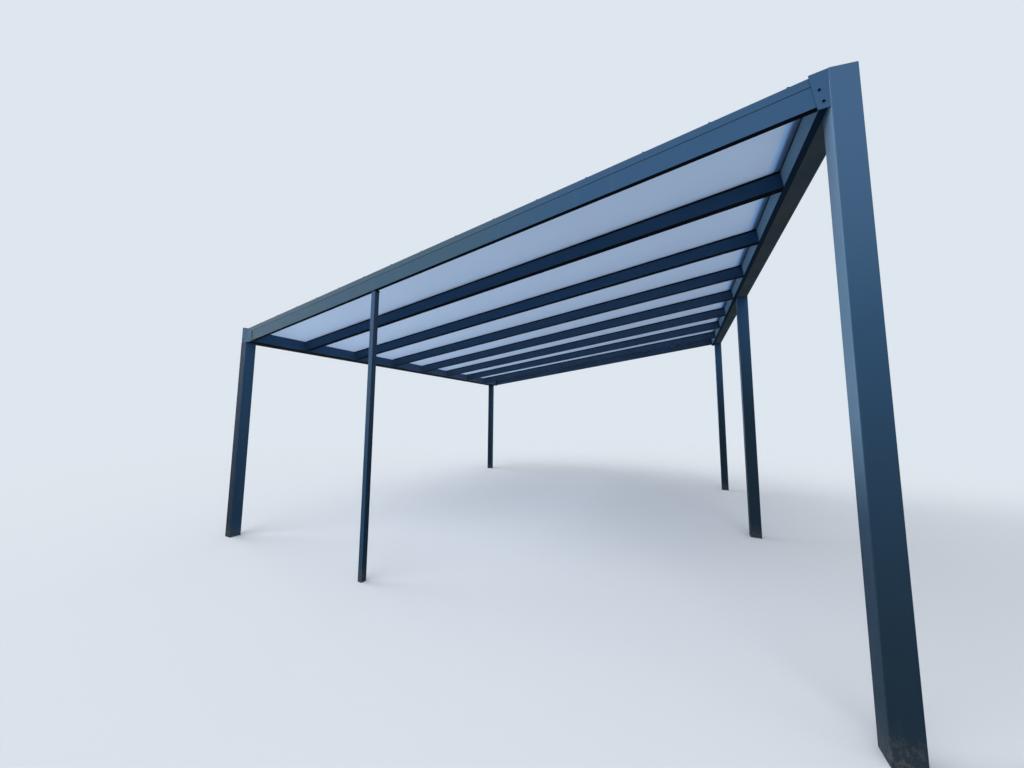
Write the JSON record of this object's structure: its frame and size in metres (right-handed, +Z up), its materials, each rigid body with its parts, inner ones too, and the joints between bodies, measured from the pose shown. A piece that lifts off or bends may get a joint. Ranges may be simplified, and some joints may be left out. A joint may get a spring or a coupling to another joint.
{
  "type": "lean-to carport",
  "caption": "Open single-slope carport: hollow coated aluminium posts, beams and rafters under opal multiwall roof panels, with a gutter along the low side and a slim front prop.",
  "frame": {"origin": "centre of the ground area under the carport: the middle of its length and width, at the level of the post feet", "axes": "+X across the roof towards the high side, +Y along the roof from the front to the rear, +Z up"},
  "size_m": [5, 5.6, 2.8561],
  "materials": {
    "frame_coat": "anthracite blue-grey powder coat, satin",
    "roof_panel": "opal white multiwall sheet, satin",
    "gasket": "black, matt",
    "mill_aluminium": "mill finish",
    "fastener": "dull stainless"
  },
  "bodies": {
    "root": {"front_end_rafter": "frame_coat", "front_left_post": "frame_coat", "front_prop": "frame_coat", "front_right_post": "frame_coat", "front_verge_trim": "frame_coat", "glazing_cap_1": "frame_coat", "glazing_cap_2": "frame_coat", "glazing_cap_3": "frame_coat", "glazing_cap_4": "frame_coat", "glazing_cap_5": "frame_coat", "glazing_cap_6": "frame_coat", "glazing_cap_7": "frame_coat", "gutter": "frame_coat", "gutter_end_front": "frame_coat", "gutter_end_rear": "frame_coat", "high_side_beam": "frame_coat", "middle_right_post": "frame_coat", "panel_drip_trims": "mill_aluminium", "panel_gaskets": "gasket", "rafter_1": "frame_coat", "rafter_2": "frame_coat", "rafter_3": "frame_coat", "rafter_4": "frame_coat", "rafter_5": "frame_coat", "rafter_6": "frame_coat", "rafter_7": "frame_coat", "rear_end_rafter": "frame_coat", "rear_left_post": "frame_coat", "rear_right_post": "frame_coat", "rear_verge_trim": "frame_coat", "roof_panel_1": "roof_panel", "roof_panel_2": "roof_panel", "roof_panel_3": "roof_panel", "roof_panel_4": "roof_panel", "roof_panel_5": "roof_panel", "roof_panel_6": "roof_panel", "roof_panel_7": "roof_panel", "roof_panel_8": "roof_panel", "wall_plate": "frame_coat", "wall_plate_end_front": "frame_coat", "wall_plate_end_rear": "frame_coat"}
  },
  "joints": []
}
